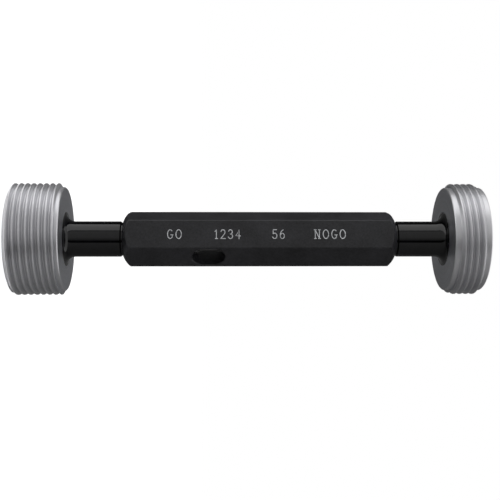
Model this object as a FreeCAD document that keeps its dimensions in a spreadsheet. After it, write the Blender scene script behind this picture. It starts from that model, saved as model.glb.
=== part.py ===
import FreeCAD, Part
import math
import os
import Sketcher

# Double-ended thread plug gauge: a hexagonal handle with a taper socket in each end, and two
# turned measuring members whose taper shanks are driven into it. The GO member has the long head.
# The gauge stands on the free end face of the GO member, with +Z along its axis.
# A right-hand 60 degree thread, cut as a true helix, runs round both heads.

# Driving dimensions in millimetres; taper_ratio, flank_slope and the turns are plain numbers.
DIMENSIONS = {
    "major_diameter": 24,
    "thread_pitch": 1.3333,
    "thread_depth": 0.78,
    "crest_flat": 0.15,
    "flank_slope": 0.57735,  # tangent of the 30 degree flank angle
    "overshoot": 0.05,  # how far the thread tool stands out of the crests
    "relief_depth": 0.82,  # pilots and collars lie this far below the crests
    "edge_break": 0.2,
    "centre_mouth": 3.8,  # 60 degree centre hole in the free end face
    "centre_drill": 1.6,
    "centre_depth": 3.0,
    "go_head": 11.25,
    "go_lead": 0.35,  # the cone that rises from the root to the crests
    "go_collar": 0.83,
    "go_run_in": 0.863,  # the thread tool starts this far outside the end face
    "go_turns": 9,
    "go_neck": 12.0,
    "nogo_head": 7.75,
    "nogo_pilot": 1.1,
    "nogo_lead": 0.3,
    "nogo_collar": 1.14,
    "nogo_run_in": 0.813,
    "nogo_turns": 7,
    "nogo_neck": 10.5,
    "neck_diameter": 7.65,
    "neck_flare": 2.0,  # fillet between the neck and the back face of the head
    "neck_chamfer": 0.25,
    "seat_gap": 0.3,  # each taper seats before its neck meets the handle
    "taper_ratio": 50,  # 1 in 50 on the diameter
    "shank_diameter": 7.1,  # at the mouth of the socket
    "shank_length": 15.3,  # inside the handle
    "shank_chamfer": 0.4,
    "socket_depth": 16.0,
    "knock_out_bore": 5.6,  # joins the two sockets
    "handle_length": 58.6,
    "across_flats": 10.5,
    "corner_round": 0.35,
    "end_diameter": 7.8,  # the turned ends start from this circle round each mouth
    "end_swell": 12.3,  # and reach this one, just outside the corners
    "end_depth": 1.8,
    "end_radius": 4.6,
    "slot_length": 7.0,
    "slot_width": 5.0,
    "slot_place": 18.3,  # centre of the drift slot from the handle's GO end
    "slot_round": 0.3,
}
CLEARANCE = 2.0  # how far cutting outlines reach past the bar
CLOSE = 1e-4


def new_sheet(doc):
    """The spreadsheet that holds the driving dimensions under their names."""
    sheet = doc.addObject("Spreadsheet::Sheet", "dims")
    for row, (alias, size) in enumerate(DIMENSIONS.items(), start=1):
        sheet.set("A%d" % row, alias)
        sheet.set("B%d" % row, str(size))
        sheet.setAlias("B%d" % row, alias)
    doc.recompute()
    return sheet


def origin_plane(body, role):
    return next(item for item in body.Origin.OriginFeatures if item.Role == role)


def new_sketch(body, name, role):
    sketch = body.newObject("Sketcher::SketchObject", name)
    sketch.AttachmentSupport = (origin_plane(body, role), [""])
    sketch.MapMode = "FlatFace"
    return sketch


def drive(sketch, kind, *where, by):
    """Adds a constraint of this kind whose size follows the expression in by."""
    index = sketch.addConstraint(Sketcher.Constraint(kind, *where, float(sketch.evalExpression(by))))
    sketch.setExpression("Constraints[%d]" % index, by)


def arc_through(start, end, radius):
    """The shallow arc from start to end that bulges to the right of that direction."""
    chord = end - start
    sagitta = radius - math.sqrt(radius**2 - (chord.Length / 2) ** 2)
    right = FreeCAD.Vector(chord.y, -chord.x, 0).normalize()
    return Part.Arc(start, (start + end) / 2 + right * sagitta, end)


def outline(body, name, corners, arcs=None):
    """A closed outline in the body's XZ plane, driven by expressions.

    Each corner is (distance from the axis, height). arcs gives, for a corner's place in the list, the
    radius of the arc that runs from it to the next one. The other sides are straight.
    """
    sketch = new_sketch(body, name, "XZ_Plane")
    arcs = arcs or {}
    points = [
        FreeCAD.Vector(float(sketch.evalExpression(across)), float(sketch.evalExpression(height)), 0)
        for across, height in corners
    ]
    count = len(points)
    ends = {}
    for i, start in enumerate(points):
        end = points[(i + 1) % count]
        if i in arcs:
            side = sketch.addGeometry(arc_through(start, end, float(sketch.evalExpression(arcs[i]))), False)
            ends[i] = (2, 1) if side_is_reversed(sketch, side, start) else (1, 2)
        else:
            sketch.addGeometry(Part.LineSegment(start, end), False)
            ends[i] = (1, 2)
    for i in range(count):
        after = (i + 1) % count
        sketch.addConstraint(Sketcher.Constraint("Coincident", i, ends[i][1], after, ends[after][0]))
    for i, (across, height) in enumerate(corners):
        place(sketch, "DistanceX", -2, i, ends[i][0], across)
        place(sketch, "DistanceY", -1, i, ends[i][0], height)
    for i, radius in arcs.items():
        drive(sketch, "Radius", i, by=radius)
    return sketch


def side_is_reversed(sketch, side, start):
    """Sketches keep arcs anticlockwise, so an arc's first point may be where the side ends."""
    return sketch.getPoint(side, 1).distanceToPoint(start) > CLOSE


def place(sketch, kind, axis, side, end, expression):
    """Holds a point at a driven distance from the origin, or on the axis itself."""
    if expression == "0":
        sketch.addConstraint(Sketcher.Constraint("PointOnObject", side, end, axis))
    else:
        drive(sketch, kind, -1, 1, side, end, by=expression)


def turned(body, kind, name, sketch):
    """A Revolution or a Groove all the way round the body's Z axis."""
    feature = body.newObject("PartDesign::" + kind, name)
    feature.Profile = sketch
    feature.ReferenceAxis = (sketch, ["V_Axis"])
    feature.Angle = 360
    body.Document.recompute()
    return feature


def edges_where(feature, test):
    """Names of the feature's edges that pass a test."""
    return ["Edge%d" % i for i, edge in enumerate(feature.Shape.Edges, start=1) if test(edge)]


def rounded(body, name, feature, test, radius):
    """A Fillet of a driven radius on those edges of the feature that pass the test."""
    fillet = body.newObject("PartDesign::Fillet", name)
    fillet.Base = (feature, edges_where(feature, test))
    fillet.setExpression("Radius", radius)
    body.Document.recompute()
    return fillet


def hexagon(body):
    """The bar's section: two flats face +Y and -Y, and two corners lie on the X axis."""
    sketch = new_sketch(body, "hexagon", "XY_Plane")
    radius = float(sketch.evalExpression("dims.across_flats / sqrt(3)"))
    corners = [
        FreeCAD.Vector(radius * math.cos(math.radians(turn)), radius * math.sin(math.radians(turn)), 0)
        for turn in range(0, 360, 60)
    ]
    for i, corner in enumerate(corners):
        sketch.addGeometry(Part.LineSegment(corner, corners[(i + 1) % 6]), False)
    circle = sketch.addGeometry(Part.Circle(FreeCAD.Vector(), FreeCAD.Vector(0, 0, 1), radius), True)
    sketch.addConstraint(Sketcher.Constraint("Coincident", circle, 3, -1, 1))
    for i in range(6):
        sketch.addConstraint(Sketcher.Constraint("Coincident", i, 2, (i + 1) % 6, 1))
        sketch.addConstraint(Sketcher.Constraint("PointOnObject", i, 1, circle))
    for i in range(1, 6):
        sketch.addConstraint(Sketcher.Constraint("Equal", 0, i))
    sketch.addConstraint(Sketcher.Constraint("PointOnObject", 0, 1, -1))
    drive(sketch, "DistanceY", -1, 1, 1, 1, by="dims.across_flats / 2")
    return sketch


def slot_sketch(body):
    """The drift slot's outline, long along the bar and round at both ends."""
    sketch = new_sketch(body, "slot", "XZ_Plane")
    middle = "dims.slot_place - dims.handle_length / 2"
    half_run = "(dims.slot_length - dims.slot_width) / 2"
    radius = float(sketch.evalExpression("dims.slot_width / 2"))
    low = float(sketch.evalExpression("%s - %s" % (middle, half_run)))
    high = float(sketch.evalExpression("%s + %s" % (middle, half_run)))
    upward = FreeCAD.Vector(0, 0, 1)
    top = Part.Circle(FreeCAD.Vector(0, high, 0), upward, radius)
    foot = Part.Circle(FreeCAD.Vector(0, low, 0), upward, radius)
    sketch.addGeometry(Part.ArcOfCircle(top, 0, math.pi), False)
    sketch.addGeometry(Part.ArcOfCircle(foot, math.pi, 2 * math.pi), False)
    left = (FreeCAD.Vector(-radius, high, 0), FreeCAD.Vector(-radius, low, 0))
    right = (FreeCAD.Vector(radius, low, 0), FreeCAD.Vector(radius, high, 0))
    sketch.addGeometry(Part.LineSegment(*left), False)
    sketch.addGeometry(Part.LineSegment(*right), False)
    for one, one_end, other, other_end in ((0, 2, 2, 1), (2, 2, 1, 1), (1, 2, 3, 1), (3, 2, 0, 1)):
        sketch.addConstraint(Sketcher.Constraint("Tangent", one, one_end, other, other_end))
    sketch.addConstraint(Sketcher.Constraint("PointOnObject", 0, 3, -2))
    sketch.addConstraint(Sketcher.Constraint("Vertical", 2))
    drive(sketch, "Radius", 0, by="dims.slot_width / 2")
    drive(sketch, "DistanceY", -1, 1, 0, 3, by="%s + %s" % (middle, half_run))
    drive(sketch, "DistanceY", -1, 1, 1, 3, by="%s - %s" % (middle, half_run))
    return sketch


def make_handle(doc):
    """The hexagonal bar, centred on its own origin: turned ends, two sockets and one drift slot."""
    body = doc.addObject("PartDesign::Body", "handle")
    bar = body.newObject("PartDesign::Pad", "bar")
    bar.Profile = hexagon(body)
    bar.Midplane = True
    bar.setExpression("Length", "dims.handle_length")
    doc.recompute()
    half_flats = float(bar.evalExpression("dims.across_flats / 2"))

    def along_the_bar(edge):
        return edge.BoundBox.XLength < CLOSE and edge.BoundBox.YLength < CLOSE

    rounded(body, "corner_rounds", bar, along_the_bar, "dims.corner_round")

    end_face = "dims.handle_length / 2"
    end_circle = "dims.end_diameter / 2"
    swell = "dims.end_swell / 2"
    outside = "%s + %g" % (swell, CLEARANCE)
    beyond = "-(%s + %g)" % (end_face, CLEARANCE)
    shoulder = "-(%s - dims.end_depth)" % end_face
    corners = [
        (end_circle, "-(%s)" % end_face),
        (swell, shoulder),
        (outside, shoulder),
        (outside, beyond),
        (end_circle, beyond),
    ]
    go_end = turned(body, "Groove", "go_end", outline(body, "end_outline", corners, {0: "dims.end_radius"}))
    nogo_end = body.newObject("PartDesign::Mirrored", "nogo_end")
    nogo_end.Originals = [go_end]
    nogo_end.MirrorPlane = (origin_plane(body, "XY_Plane"), [""])
    body.Tip = nogo_end
    doc.recompute()

    mouth = "dims.shank_diameter / 2"
    seat = "(dims.shank_diameter - dims.socket_depth / dims.taper_ratio) / 2"
    inner = "dims.handle_length / 2 - dims.socket_depth"
    half_section = [
        (mouth, end_face),
        (seat, inner),
        ("dims.knock_out_bore / 2", inner),
    ]
    corners = [("0", end_face)] + half_section
    corners += [(across, "-(%s)" % height) for across, height in reversed(half_section)]
    corners += [("0", "-(%s)" % end_face)]
    turned(body, "Groove", "sockets", outline(body, "socket_outline", corners))

    slot = body.newObject("PartDesign::Pocket", "drift_slot")
    slot.Profile = slot_sketch(body)
    slot.Midplane = True
    slot.Type = "ThroughAll"
    doc.recompute()

    def slot_rim(edge):
        box = edge.BoundBox
        on_flat = box.YLength < CLOSE and abs(abs(box.YMin) - half_flats) < CLOSE
        half_width = float(slot.evalExpression("dims.slot_width / 2"))
        return on_flat and box.XMin > -half_width - CLOSE and box.XMax < half_width + CLOSE

    body.Tip = rounded(body, "slot_round", slot, slot_rim, "dims.slot_round")
    lift = "dims.go_head + dims.go_neck + dims.seat_gap + dims.handle_length / 2"
    body.setExpression("Placement.Base.z", lift)
    return body


def make_member(doc, end):
    """One turned member, from its free end face at its own origin up to the tip of its shank."""
    body = doc.addObject("PartDesign::Body", end + "_member")
    head = "dims.%s_head" % end
    crest = "dims.major_diameter / 2"
    relief = "dims.major_diameter / 2 - dims.relief_depth"
    collar = "%s - dims.%s_collar" % (head, end)
    neck = "dims.neck_diameter / 2"
    neck_end = "%s + dims.%s_neck" % (head, end)
    shoulder = "(dims.shank_diameter + dims.seat_gap / dims.taper_ratio) / 2"
    shank_end = "(dims.shank_diameter - dims.shank_length / dims.taper_ratio) / 2"
    tip = "%s + dims.seat_gap + dims.shank_length" % neck_end
    free_ends = {
        "go": [(relief, "0"), (crest, "dims.go_lead")],
        "nogo": [
            (relief + " - dims.edge_break", "0"),
            (relief, "dims.edge_break"),
            (relief, "dims.nogo_pilot"),
            (crest, "dims.nogo_pilot + dims.nogo_lead"),
        ],
    }
    centre_hole = [
        ("0", "dims.centre_depth"),
        ("dims.centre_drill / 2", "dims.centre_depth"),
        ("dims.centre_drill / 2", "(dims.centre_mouth - dims.centre_drill) / 2 / dims.flank_slope"),
        ("dims.centre_mouth / 2", "0"),
    ]
    collar_to_tip = [
        (crest, collar),
        (relief, collar),
        (relief, "%s - dims.edge_break" % head),
        (relief + " - dims.edge_break", head),
        (neck, head),
        (neck, neck_end + " - dims.neck_chamfer"),
        (neck + " - dims.neck_chamfer", neck_end),
        (shoulder, neck_end),
        (shank_end, tip + " - dims.shank_chamfer"),
        (shank_end + " - dims.shank_chamfer", tip),
        ("0", tip),
    ]
    corners = centre_hole + free_ends[end] + collar_to_tip
    blank = turned(body, "Revolution", end + "_blank", outline(body, end + "_outline", corners))
    neck_radius = float(blank.evalExpression(neck))
    head_length = float(blank.evalExpression(head))

    def neck_root(edge):
        circle = edge.Curve
        if not isinstance(circle, Part.Circle):
            return False
        return abs(circle.Radius - neck_radius) < CLOSE and abs(circle.Center.z - head_length) < CLOSE

    rounded(body, end + "_flare", blank, neck_root, "dims.neck_flare")

    root = "dims.major_diameter / 2 - dims.thread_depth"
    top = "dims.major_diameter / 2 + dims.overshoot"
    start = "-dims.%s_run_in" % end
    top_half = "((dims.thread_pitch - dims.crest_flat) / 2 + dims.overshoot * dims.flank_slope)"
    root_half = "((dims.thread_pitch - dims.crest_flat) / 2 - dims.thread_depth * dims.flank_slope)"
    groove = outline(body, end + "_groove", [
        (root, "%s - %s" % (start, root_half)),
        (top, "%s - %s" % (start, top_half)),
        (top, "%s + %s" % (start, top_half)),
        (root, "%s + %s" % (start, root_half)),
    ])
    thread = body.newObject("PartDesign::SubtractiveHelix", end + "_thread")
    thread.Profile = groove
    thread.ReferenceAxis = (groove, ["V_Axis"])
    thread.Mode = "pitch-height-angle"
    thread.setExpression("Pitch", "dims.thread_pitch")
    thread.setExpression("Height", "dims.thread_pitch * dims.%s_turns" % end)
    doc.recompute()
    body.Tip = thread
    return body


def check(doc, nodes):
    """Stops the build if any feature failed or a piece isn't one sound solid."""
    for item in doc.Objects:
        if "Invalid" in item.State or "Error" in item.State:
            raise RuntimeError("%s failed: %s" % (item.Name, item.State))
    for node in nodes:
        shape = node.Shape
        if shape.isNull() or not shape.isValid() or len(shape.Solids) != 1:
            raise RuntimeError("%s isn't one valid solid" % node.Label)


doc = FreeCAD.newDocument("thread_plug_gauge")
new_sheet(doc)
handle = make_handle(doc)
go_member = make_member(doc, "go")
nogo_member = make_member(doc, "nogo")

# The NOGO member hangs from the far end, turned over about the X axis.
nogo_member.Placement.Rotation = FreeCAD.Rotation(FreeCAD.Vector(1, 0, 0), 180)
from_go = "dims.go_head + dims.go_neck + dims.seat_gap + dims.handle_length"
from_nogo = "dims.seat_gap + dims.nogo_neck + dims.nogo_head"
nogo_member.setExpression("Placement.Base.z", "%s + %s" % (from_go, from_nogo))
doc.recompute()

check(doc, (handle, go_member, nogo_member))
os.makedirs("parts", exist_ok=True)
for node in (handle, go_member, nogo_member):
    node.Shape.exportStep("parts/%s.step" % node.Label)
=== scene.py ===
"""Thread plug gauge: the looks of a ground, threaded GO and NOGO member in a blackened hexagonal handle."""

import math

import bmesh
import bpy
from mathutils import Matrix, Vector


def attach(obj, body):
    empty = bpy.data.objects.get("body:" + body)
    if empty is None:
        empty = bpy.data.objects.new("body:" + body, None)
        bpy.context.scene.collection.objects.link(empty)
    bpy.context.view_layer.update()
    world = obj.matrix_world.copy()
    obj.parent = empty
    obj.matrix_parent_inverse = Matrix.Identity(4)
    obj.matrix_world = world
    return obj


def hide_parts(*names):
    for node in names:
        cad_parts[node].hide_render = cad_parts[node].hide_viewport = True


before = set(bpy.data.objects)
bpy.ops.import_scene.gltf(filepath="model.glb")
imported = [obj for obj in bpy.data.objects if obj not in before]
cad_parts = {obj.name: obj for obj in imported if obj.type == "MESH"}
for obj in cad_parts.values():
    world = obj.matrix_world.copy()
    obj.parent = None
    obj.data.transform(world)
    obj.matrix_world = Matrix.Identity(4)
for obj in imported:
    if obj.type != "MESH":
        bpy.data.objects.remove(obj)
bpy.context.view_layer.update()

MM = 0.001
TURN = 2 * math.pi

# The gauge's sizes in millimetres, as the CAD model has them.
CREST_RADIUS = 12.0
PITCH = 1.3333
THREAD_DEPTH = 0.78
CREST_FLAT = 0.25
FLANK_SLOPE = math.tan(math.radians(30))
EDGE_BREAK = 0.2
NECK_RADIUS = 3.825
FLARE_RADIUS = 2.0
NECK_CHAMFER = 0.25
SEAT_GAP = 0.3
SHANK_RADIUS = 3.55
SHANK_LENGTH = 15.3
SHANK_CHAMFER = 0.4
TAPER = 1 / 100  # of the radius along the shank
CENTRE_MOUTH = 1.9
CENTRE_DRILL = 0.8
CENTRE_DEPTH = 3.0
HALF_FLATS = 5.25
OVERALL = 100.7
RELIEF_RADIUS = 11.18

MEMBERS = {
    "go_member": dict(head=11.25, pilot=0.0, lead=0.35, collar=0.83, neck=12.0, run_in=0.66),
    "nogo_member": dict(head=7.75, pilot=1.1, lead=0.3, collar=1.14, neck=10.5, run_in=0.63),
}
COLUMNS = 300
EDGE_ROUND = 0.06
MERGE_WITHIN = 0.002
SHORTEST_EDGE = 0.001
SHARP_FROM = math.radians(32)
FACE_ON = 0.95  # how squarely a face looks along the axis to count as an end or back face


# ---------------------------------------------------------------- shapes


def eased(points, radius, steps=3):
    """The open outline with each inner corner rounded off to about this radius."""
    out = [points[0]]
    for before, corner, after in zip(points, points[1:], points[2:]):
        corner = Vector(corner)
        back = Vector(before) - corner
        ahead = Vector(after) - corner
        reach = min(radius, back.length * 0.45, ahead.length * 0.45)
        start = corner + back.normalized() * reach
        end = corner + ahead.normalized() * reach
        for i in range(steps + 1):
            at = i / steps
            out.append(tuple(start * (1 - at) ** 2 + corner * 2 * at * (1 - at) + end * at**2))
    out.append(points[-1])
    return out


def thread_section():
    """One pitch of the thread from groove to groove, as (distance along the axis, radius)."""
    crest_half = CREST_FLAT / 2
    root_half = PITCH / 2 - crest_half - THREAD_DEPTH * FLANK_SLOPE
    root = CREST_RADIUS - THREAD_DEPTH
    middle = PITCH / 2
    corners = [
        (0, root),
        (root_half, root),
        (middle - crest_half, CREST_RADIUS),
        (middle + crest_half, CREST_RADIUS),
        (PITCH - root_half, root),
        (PITCH, root),
    ]
    soft = eased(corners, 0.05)
    out = [soft[0]]
    for (s0, r0), (s1, r1) in zip(soft, soft[1:]):
        parts = max(1, round(math.hypot(s1 - s0, r1 - r0) / 0.16))
        out += [(s0 + (s1 - s0) * i / parts, r0 + (r1 - r0) * i / parts) for i in range(1, parts + 1)]
    return out[:-1]


def limit_radius(member, z):
    """The blank's radius at this height of the threaded stretch, where its end cone cuts the crests."""
    rise = (z - member["pilot"]) / member["lead"]
    return min(CREST_RADIUS, RELIEF_RADIUS + (CREST_RADIUS - RELIEF_RADIUS) * rise)


def thread_rows(member):
    """For each column round the member, the thread's points as (height, radius), all columns alike in count."""
    section = thread_section()
    low = member["pilot"]
    high = member["head"] - member["collar"]
    first = -member["run_in"] - 2 * PITCH
    turns = math.ceil((high - first) / PITCH) + 2
    columns = []
    for j in range(COLUMNS):
        shift = first + PITCH * j / COLUMNS
        column = []
        for k in range(turns):
            for s, radius in section:
                z = shift + k * PITCH + s
                held = min(max(z, low), high)
                if held != z:
                    radius = thread_radius((held - shift) % PITCH, section)
                column.append((held, min(radius, limit_radius(member, held))))
        columns.append(column)
    return columns, len(section)


def thread_radius(s, section):
    """The thread's radius this far along one pitch."""
    for (s0, r0), (s1, r1) in zip(section, section[1:] + [(PITCH, section[0][1])]):
        if s <= s1:
            return r0 + (r1 - r0) * (s - s0) / (s1 - s0)
    return section[0][1]


def flare_points(head, steps=10):
    """The quarter round from the back face into the neck, as (height, radius)."""
    out = []
    for i in range(steps + 1):
        turn = math.pi / 2 * i / steps
        out.append((head + FLARE_RADIUS * (1 - math.cos(turn)), NECK_RADIUS + FLARE_RADIUS * (1 - math.sin(turn))))
    return out


def member_mesh(name, member, place):
    """The whole member as one closed mesh. Slots: 0 ground thread and collar, 1 blackened neck, 2 faces."""
    head = member["head"]
    neck_end = head + member["neck"]
    tip = neck_end + SEAT_GAP + SHANK_LENGTH
    tip_radius = SHANK_RADIUS - SHANK_LENGTH * TAPER
    cone_depth = (CENTRE_MOUTH - CENTRE_DRILL) / FLANK_SLOPE
    face = [
        (CENTRE_DEPTH, 0.0),
        (CENTRE_DEPTH, CENTRE_DRILL),
        (cone_depth, CENTRE_DRILL),
        (0.0, CENTRE_MOUTH),
    ]
    if member["pilot"]:
        face += [(0.0, RELIEF_RADIUS - EDGE_BREAK), (EDGE_BREAK, RELIEF_RADIUS), (member["pilot"], RELIEF_RADIUS)]
    else:
        face += [(0.0, RELIEF_RADIUS)]
    collar = [
        (head - member["collar"], RELIEF_RADIUS),
        (head - EDGE_BREAK, RELIEF_RADIUS),
        (head, RELIEF_RADIUS - EDGE_BREAK),
        (head, NECK_RADIUS + FLARE_RADIUS),
    ]
    shank = flare_points(head) + [
        (neck_end - NECK_CHAMFER, NECK_RADIUS),
        (neck_end, NECK_RADIUS - NECK_CHAMFER),
        (neck_end, SHANK_RADIUS + SEAT_GAP * TAPER),
        (tip - SHANK_CHAMFER, tip_radius + SHANK_CHAMFER * TAPER),
        (tip, tip_radius - SHANK_CHAMFER),
        (tip, 0.0),
    ]
    columns, per_pitch = thread_rows(member)
    made = bmesh.new()

    def ring_of(z, radius):
        return [made.verts.new(place(radius, TURN * j / COLUMNS, z)) for j in range(COLUMNS)]

    def skin(rows, shift, material):
        last = len(rows) - 1
        for i in range(last):
            for j in range(COLUMNS):
                ahead = (j + 1) % COLUMNS
                step = shift if ahead == 0 else 0
                lower = min(i + step, last)
                upper = min(i + 1 + step, last)
                corners = [rows[i][j], rows[lower][ahead], rows[upper][ahead], rows[i + 1][j]]
                quad = made.faces.new(dict.fromkeys(corners)) if len(set(corners)) > 2 else None
                if quad:
                    quad.material_index = material

    def lathe(points, material):
        skin([ring_of(z, radius) for z, radius in points], 0, material)

    lathe(eased(face, EDGE_ROUND), 0)
    rows = [
        [made.verts.new(place(columns[j][i][1], TURN * j / COLUMNS, columns[j][i][0])) for j in range(COLUMNS)]
        for i in range(len(columns[0]))
    ]
    skin(rows, per_pitch, 0)
    wall = [made.verts.new(v.co) for v in rows[-1]]
    skin([wall, ring_of(*collar[0])], 0, 0)
    lathe(eased(collar, EDGE_ROUND), 0)
    lathe(shank, 1)
    bmesh.ops.remove_doubles(made, verts=made.verts, dist=MERGE_WITHIN * MM)
    bmesh.ops.dissolve_degenerate(made, edges=made.edges, dist=SHORTEST_EDGE * MM)
    bmesh.ops.recalc_face_normals(made, faces=made.faces)
    for face in made.faces:
        if face.material_index == 0 and abs(face.normal.z) > FACE_ON:
            face.material_index = 2
    mesh = bpy.data.meshes.new(name)
    made.to_mesh(mesh)
    made.free()
    mesh.shade_smooth()
    mesh.set_sharp_from_angle(angle=SHARP_FROM)
    piece = bpy.data.objects.new(name, mesh)
    bpy.context.scene.collection.objects.link(piece)
    return piece


def upright(radius, turn, z):
    """A point of the GO member, which stands as it is described."""
    return Vector((radius * math.cos(turn), radius * math.sin(turn), z)) * MM


def turned_over(radius, turn, z):
    """A point of the NOGO member, which hangs from the far end, turned over about X."""
    return Vector((radius * math.cos(turn), -radius * math.sin(turn), OVERALL - z)) * MM


go_piece = member_mesh("go_member_ground", MEMBERS["go_member"], upright)
nogo_piece = member_mesh("nogo_member_ground", MEMBERS["nogo_member"], turned_over)
for piece, node in ((go_piece, "go_member"), (nogo_piece, "nogo_member")):
    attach(piece, "root")
    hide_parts(node)


# ---------------------------------------------------------------- marks

# Generic marks, drawn as thin strokes. A letter is one unit high and stands on its line.
LETTER_HEIGHT = 1.9
STROKE = 0.17
MARK_RISE = 0.015
LETTER_GAP = 0.32  # of the letter height
MARK_HEIGHTS = {"GO": 34.7, "1234": 45.9, "56": 56.7, "NOGO": 67.6}
TEXT_TURN = math.radians(210)  # the marked flat faces this way


def curve(across, up, half_width, half_height, first, last, steps=16):
    """Points along part of an ellipse, angles in degrees."""
    turns = [math.radians(first + (last - first) * i / steps) for i in range(steps + 1)]
    return [(across + half_width * math.cos(turn), up + half_height * math.sin(turn)) for turn in turns]


def upright_stroke(across, foot=0.0, top=1.0, serif=0.1):
    """An upright with a short serif at each end."""
    return [
        [(across, foot), (across, top)],
        [(across - serif, foot), (across + serif, foot)],
        [(across - serif, top), (across + serif, top)],
    ]


LETTERS = {
    "G": (0.62, [curve(0.31, 0.5, 0.29, 0.5, 48, 325), [(0.38, 0.42), (0.62, 0.42)], [(0.55, 0.42), (0.55, 0.14)]]),
    "O": (0.62, [curve(0.31, 0.5, 0.3, 0.5, 0, 360, 24)]),
    "N": (0.66, upright_stroke(0.1) + upright_stroke(0.56) + [[(0.1, 1), (0.56, 0)]]),
    "1": (0.36, [[(0.06, 0.82), (0.2, 1), (0.2, 0)], [(0.08, 0), (0.32, 0)]]),
    "2": (0.52, [curve(0.25, 0.72, 0.23, 0.28, 165, -35, 12) + [(0.02, 0)], [(0.02, 0), (0.5, 0)]]),
    "4": (0.54, [[(0.38, 0), (0.38, 1), (0.02, 0.3), (0.52, 0.3)]]),
    "6": (0.52, [curve(0.26, 0.3, 0.23, 0.3, 0, 360, 20), curve(0.47, 0.34, 0.44, 0.66, 180, 105, 8)]),
    "3": (0.5, [curve(0.24, 0.75, 0.21, 0.25, 160, -90, 12), curve(0.24, 0.26, 0.24, 0.26, 90, -160, 12)]),
    "5": (0.5, [[(0.44, 1), (0.08, 1), (0.06, 0.56)], curve(0.23, 0.31, 0.25, 0.31, 128, -155, 14)]),
}


def stroke_solid(made, points, to_face):
    """A thin raised ribbon along the points."""
    half = STROKE / LETTER_HEIGHT / 2
    rings = []
    for i, point in enumerate(points):
        before = Vector(points[max(i - 1, 0)])
        after = Vector(points[min(i + 1, len(points) - 1)])
        along = (after - before).normalized()
        side = Vector((-along.y, along.x)) * half
        end = along * half * ((i == len(points) - 1) - (i == 0))
        spot = Vector(point) + end
        corners = ((spot + side, 0), (spot - side, 0), (spot - side, MARK_RISE), (spot + side, MARK_RISE))
        rings.append([made.verts.new(to_face(corner, rise)) for corner, rise in corners])
    for ring, after in zip(rings, rings[1:]):
        for k in range(4):
            made.faces.new((ring[k], ring[(k + 1) % 4], after[(k + 1) % 4], after[k]))
    made.faces.new(rings[0][::-1])
    made.faces.new(rings[-1])


def add_mark(words, height, material):
    """One mark on the flat, read along +Z and centred at this height."""
    out = Vector((math.cos(TEXT_TURN), math.sin(TEXT_TURN), 0))
    up = Vector((0, 0, 1)).cross(out) * -1
    widths = [LETTERS[letter][0] for letter in words]
    length = sum(widths) + LETTER_GAP * (len(words) - 1)
    start = -length / 2
    made = bmesh.new()
    for letter, width in zip(words, widths):

        def to_face(spot, rise, start=start):
            along = height + (start + spot.x) * LETTER_HEIGHT
            lift = (spot.y - 0.5) * LETTER_HEIGHT
            return (out * (HALF_FLATS + rise) + up * lift + Vector((0, 0, along))) * MM

        for points in LETTERS[letter][1]:
            stroke_solid(made, points, to_face)
        start += width + LETTER_GAP
    bmesh.ops.recalc_face_normals(made, faces=made.faces)
    mesh = bpy.data.meshes.new("mark_" + words)
    made.to_mesh(mesh)
    made.free()
    mesh.materials.append(material)
    piece = bpy.data.objects.new("mark_" + words, mesh)
    bpy.context.scene.collection.objects.link(piece)
    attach(piece, "root")


# ---------------------------------------------------------------- materials


RING_STRETCH = 60.0  # per metre, along the marks
RING_FINENESS = 9000.0  # per metre, across them


class Paint:
    """A material, its shader and short ways to add and link nodes."""

    def __init__(self, name, **settings):
        self.material = bpy.data.materials.new(name)
        self.material.use_nodes = True
        self.tree = self.material.node_tree
        self.shader = self.tree.nodes["Principled BSDF"]
        for key, value in settings.items():
            self.shader.inputs[key.replace("_", " ")].default_value = value

    def node(self, kind, **inputs):
        made = self.tree.nodes.new("ShaderNode" + kind)
        for key, value in inputs.items():
            made.inputs[key.replace("_", " ")].default_value = value
        return made

    def link(self, source, target):
        self.tree.links.new(source, target)

    def math(self, operation, first, second=None):
        made = self.node("Math")
        made.operation = operation
        for socket, value in zip(made.inputs, (first, second)):
            if isinstance(value, (int, float)):
                socket.default_value = value
            elif value is not None:
                self.link(value, socket)
        return made.outputs[0]

    def place(self):
        """Object coordinates in metres, with the distance from the axis."""
        parts = self.node("SeparateXYZ")
        self.link(self.node("TexCoord").outputs["Object"], parts.inputs[0])
        x, y, z = parts.outputs
        radius = self.math("SQRT", self.math("ADD", self.math("MULTIPLY", x, x), self.math("MULTIPLY", y, y)))
        return x, y, z, radius

    def noise(self, vector, scale, detail=3.0, roughness=0.6):
        made = self.node("TexNoise", Scale=scale, Detail=detail, Roughness=roughness)
        self.link(vector, made.inputs["Vector"])
        return made.outputs["Fac"]

    def blend(self, factor, first, second, low=0.0, high=1.0):
        """A colour that runs from first to second as the factor runs from low to high."""
        ramp = self.node("ValToRGB")
        for element, position, colour in zip(ramp.color_ramp.elements, (low, high), (first, second)):
            element.position = position
            element.color = (*colour, 1)
        self.link(factor, ramp.inputs["Fac"])
        return ramp.outputs["Color"]

    def spread(self, factor, low, high):
        made = self.node("MapRange", To_Min=low, To_Max=high)
        self.link(factor, made.inputs["Value"])
        return made.outputs["Result"]

    def bump(self, height, strength, distance):
        made = self.node("Bump", Strength=strength, Distance=distance)
        self.link(height, made.inputs["Height"])
        self.link(made.outputs["Normal"], self.shader.inputs["Normal"])

    def ring_marks(self):
        """Fine marks that run round the axis, on cylinders as on end faces."""
        x, y, z, radius = self.place()
        vector = self.node("CombineXYZ")
        self.link(self.math("MULTIPLY", x, RING_STRETCH), vector.inputs[0])
        self.link(self.math("MULTIPLY", y, RING_STRETCH), vector.inputs[1])
        self.link(self.math("MULTIPLY", self.math("ADD", z, radius), RING_FINENESS), vector.inputs[2])
        return self.noise(vector.outputs[0], 1.0)


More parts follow.
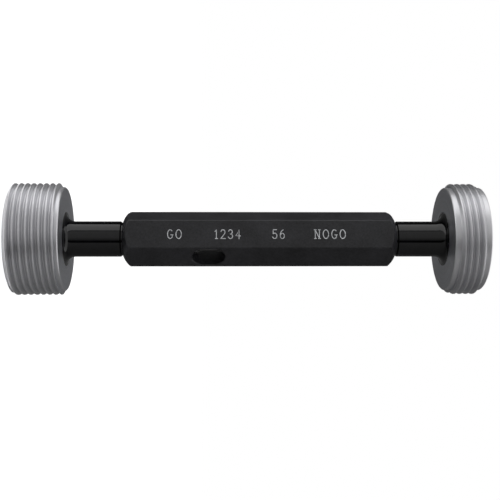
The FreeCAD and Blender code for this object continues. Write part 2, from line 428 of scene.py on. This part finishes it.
def faced_steel():
    """The turned end and back faces: satin, with fine concentric marks."""
    paint = Paint("faced_steel", Metallic=1.0, Roughness=0.38)
    marks = paint.ring_marks()
    tone = paint.blend(marks, (0.5, 0.51, 0.54), (0.66, 0.67, 0.71), 0.3, 0.7)
    paint.link(tone, paint.shader.inputs["Base Color"])
    paint.link(paint.spread(marks, 0.3, 0.46), paint.shader.inputs["Roughness"])
    paint.bump(marks, 0.1, 0.00002)
    return paint.material


def polished_black():
    """Neck, flare and shank: black oxide over a polished surface, with faint turning marks."""
    paint = Paint("polished_black", IOR=1.45)
    marks = paint.ring_marks()
    x, y, z, radius = paint.place()
    spot = paint.node("CombineXYZ")
    for value, socket in zip((x, y, z), spot.inputs):
        paint.link(value, socket)
    blotches = paint.noise(spot.outputs[0], 900.0, 4.0)
    tone = paint.blend(blotches, (0.0006, 0.0006, 0.0009), (0.003, 0.003, 0.0038), 0.35, 0.7)
    paint.link(tone, paint.shader.inputs["Base Color"])
    paint.link(paint.spread(marks, 0.05, 0.14), paint.shader.inputs["Roughness"])
    paint.bump(marks, 0.06, 0.00002)
    return paint.material


def satin_black():
    """The handle's black oxide: satin, with a fine speckle and a faint cloudy tone."""
    paint = Paint("satin_black", IOR=1.45)
    place = paint.node("TexCoord").outputs["Object"]
    speckle = paint.noise(place, 2600.0, 5.0, 0.75)
    cloud = paint.noise(place, 140.0, 3.0)
    mixed = paint.math("ADD", paint.math("MULTIPLY", speckle, 0.65), paint.math("MULTIPLY", cloud, 0.35))
    tone = paint.blend(mixed, (0.003, 0.003, 0.0036), (0.02, 0.02, 0.023), 0.38, 0.62)
    paint.link(tone, paint.shader.inputs["Base Color"])
    paint.link(paint.spread(mixed, 0.24, 0.5), paint.shader.inputs["Roughness"])
    paint.bump(speckle, 0.3, 0.00004)
    return paint.material


def mark_grey():
    """Etched marks: pale and dull, a little uneven."""
    paint = Paint("mark_grey", Roughness=0.6)
    grain = paint.noise(paint.node("TexCoord").outputs["Object"], 3000.0)
    tone = paint.blend(grain, (0.3, 0.31, 0.32), (0.62, 0.63, 0.65), 0.3, 0.65)
    paint.link(tone, paint.shader.inputs["Base Color"])
    paint.bump(grain, 0.2, 0.00002)
    return paint.material


# The heads wear the plain ground steel that comes with the frame.
member_materials = (bpy.data.materials["ground_steel"], polished_black(), faced_steel())
for piece in (go_piece, nogo_piece):
    for material in member_materials:
        piece.data.materials.append(material)
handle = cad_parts["handle"]
handle.data.materials.clear()
handle.data.materials.append(satin_black())
marks_material = mark_grey()
for words, height in MARK_HEIGHTS.items():
    add_mark(words, height, marks_material)


# ---------------------------------------------------------------- camera

# The lens looks at the gauge from the side, with the gauge's axis across the picture.
CAMERA_TURN = 221.4  # degrees round the axis from +X
CAMERA_DISTANCE = 194.0
CAMERA_HEIGHT = 44.12
AIM_HEIGHT = 50.82
AXIS_ABOVE_AIM = 2.38
FOCAL = 64.38
toward = Vector((math.cos(math.radians(CAMERA_TURN)), math.sin(math.radians(CAMERA_TURN)), 0))
across = Vector((0, 0, 1)).cross(toward) * -1


def add_camera():
    place = (toward * CAMERA_DISTANCE + Vector((0, 0, CAMERA_HEIGHT))) * MM
    aim = (Vector((0, 0, AIM_HEIGHT)) - across * AXIS_ABOVE_AIM) * MM
    back = (place - aim).normalized()
    right = across.cross(back).normalized()
    top = back.cross(right)
    data = bpy.data.cameras.new("camera")
    data.lens = FOCAL
    data.sensor_width = 36
    data.clip_start = 0.01
    camera = bpy.data.objects.new("camera", data)
    camera.matrix_world = Matrix((
        (right.x, top.x, back.x, place.x),
        (right.y, top.y, back.y, place.y),
        (right.z, top.z, back.z, place.z),
        (0, 0, 0, 1),
    ))
    bpy.context.scene.collection.objects.link(camera)
    bpy.context.scene.camera = camera


add_camera()


# ---------------------------------------------------------------- studio

# Tall curved panels stand round the gauge. Each is (first angle, last angle, grey at first, grey at last),
# with the angle measured from the lens round to the key softbox.
PANELS = [
    (-180, -110, 0.12, 0.1),
    (-110, -24, 0.12, 0.34),
    (-24, -10, 0.0, 0.0),
    (-10, 10, 0.15, 0.5),
    (10, 52, 0.5, 0.62),
    (52, 57, 0.1, 0.1),
    (57, 109, 1.5, 1.5),
    (109, 124, 0.0, 0.0),
    (124, 180, 0.04, 0.1),
]
PANEL_RADIUS = 500
PANEL_HEIGHT = 700
FOOT_RADIUS = 12.6  # the panels' feet run in over the floor as far as this
FOOT_LIFT = 0.05


def panel(index, first, last, first_grey, last_grey):
    """A curved sheet on the studio's circle, glowing from one grey at its first edge to another at its last."""
    made = bmesh.new()
    steps = max(2, round((last - first) / 3))
    section = ((FOOT_RADIUS, FOOT_LIFT), (PANEL_RADIUS, FOOT_LIFT), (PANEL_RADIUS, PANEL_HEIGHT))
    rows = []
    for i in range(steps + 1):
        turn = math.radians(CAMERA_TURN - first - (last - first) * i / steps)
        rows.append([
            made.verts.new(Vector((radius * math.cos(turn), radius * math.sin(turn), z)) * MM)
            for radius, z in section
        ])
    across_uv = made.loops.layers.uv.new("across")
    for i in range(steps):
        for j in range(len(section) - 1):
            face = made.faces.new((rows[i][j], rows[i + 1][j], rows[i + 1][j + 1], rows[i][j + 1]))
            for loop, at in zip(face.loops, (i, i + 1, i + 1, i)):
                loop[across_uv].uv = (at / steps, 0.5)
    mesh = bpy.data.meshes.new("panel_%d" % index)
    made.to_mesh(mesh)
    made.free()
    material = bpy.data.materials.new("panel_%d" % index)
    material.use_nodes = True
    tree = material.node_tree
    tree.nodes.clear()
    spot = tree.nodes.new("ShaderNodeUVMap")
    parts = tree.nodes.new("ShaderNodeSeparateXYZ")
    grey = tree.nodes.new("ShaderNodeMapRange")
    grey.inputs["To Min"].default_value = first_grey
    grey.inputs["To Max"].default_value = last_grey
    glow = tree.nodes.new("ShaderNodeEmission")
    output = tree.nodes.new("ShaderNodeOutputMaterial")
    tree.links.new(spot.outputs["UV"], parts.inputs["Vector"])
    tree.links.new(parts.outputs["X"], grey.inputs["Value"])
    tree.links.new(grey.outputs["Result"], glow.inputs["Strength"])
    tree.links.new(glow.outputs["Emission"], output.inputs["Surface"])
    mesh.materials.append(material)
    sheet = bpy.data.objects.new("panel_%d" % index, mesh)
    sheet.visible_camera = False
    sheet.visible_diffuse = False
    sheet.visible_shadow = False
    bpy.context.scene.collection.objects.link(sheet)


for index, sizes in enumerate(PANELS):
    panel(index, *sizes)

FLOOR_RADIUS = 3000
FLOOR_DROP = 0.02
FLOOR_GLOW = 0.87


def seen_rays(tree):
    """1 for camera, glossy and transmission rays, which see the white background."""
    rays = tree.nodes.new("ShaderNodeLightPath")
    total = rays.outputs["Is Camera Ray"]
    for name in ("Is Glossy Ray", "Is Transmission Ray"):
        most = tree.nodes.new("ShaderNodeMath")
        most.operation = "MAXIMUM"
        tree.links.new(total, most.inputs[0])
        tree.links.new(rays.outputs[name], most.inputs[1])
        total = most.outputs[0]
    return total


def add_world():
    world = bpy.data.worlds.new("studio")
    bpy.context.scene.world = world
    world.use_nodes = True
    tree = world.node_tree
    strength = tree.nodes.new("ShaderNodeMapRange")
    strength.inputs["To Min"].default_value = 0.4
    strength.inputs["To Max"].default_value = 1.0
    tree.links.new(seen_rays(tree), strength.inputs["Value"])
    back = tree.nodes["Background"]
    back.inputs["Color"].default_value = (1, 1, 1, 1)
    tree.links.new(strength.outputs["Result"], back.inputs["Strength"])


def add_floor():
    """A wide pale floor that stays near white but keeps the gauge's shadow."""
    made = bmesh.new()
    bmesh.ops.create_circle(made, cap_ends=True, segments=96, radius=FLOOR_RADIUS * MM)
    bmesh.ops.translate(made, verts=made.verts, vec=(0, 0, -FLOOR_DROP * MM))
    mesh = bpy.data.meshes.new("floor")
    made.to_mesh(mesh)
    made.free()
    material = bpy.data.materials.new("pale_floor")
    material.use_nodes = True
    tree = material.node_tree
    shader = tree.nodes["Principled BSDF"]
    shader.inputs["Base Color"].default_value = (0.32, 0.32, 0.32, 1)
    shader.inputs["Roughness"].default_value = 0.9
    shader.inputs["Specular IOR Level"].default_value = 0.0
    shader.inputs["Emission Color"].default_value = (1, 1, 1, 1)
    glow = tree.nodes.new("ShaderNodeMath")
    glow.operation = "MULTIPLY"
    glow.inputs[1].default_value = FLOOR_GLOW
    tree.links.new(seen_rays(tree), glow.inputs[0])
    tree.links.new(glow.outputs[0], shader.inputs["Emission Strength"])
    mesh.materials.append(material)
    floor = bpy.data.objects.new("floor", mesh)
    bpy.context.scene.collection.objects.link(floor)


def add_lamp(name, turn, rise, distance, width, power):
    """A soft square lamp aimed at the middle of the gauge. The panels stand for it in reflections."""
    data = bpy.data.lights.new(name, "AREA")
    data.size = width * MM
    data.energy = power
    lamp = bpy.data.objects.new(name, data)
    out = Vector((
        math.cos(math.radians(turn)) * math.cos(math.radians(rise)),
        math.sin(math.radians(turn)) * math.cos(math.radians(rise)),
        math.sin(math.radians(rise)),
    ))
    lamp.location = out * distance * MM + Vector((0, 0, OVERALL / 2 * MM))
    lamp.rotation_euler = out.to_track_quat("Z", "Y").to_euler()
    lamp.visible_glossy = False
    lamp.visible_camera = False
    bpy.context.scene.collection.objects.link(lamp)


add_world()
add_floor()
add_lamp("key", CAMERA_TURN - 85, 45, 600, 350, 4.0)
add_lamp("fill", CAMERA_TURN + 40, 50, 700, 450, 1.6)
bpy.context.scene.view_settings.view_transform = "Standard"
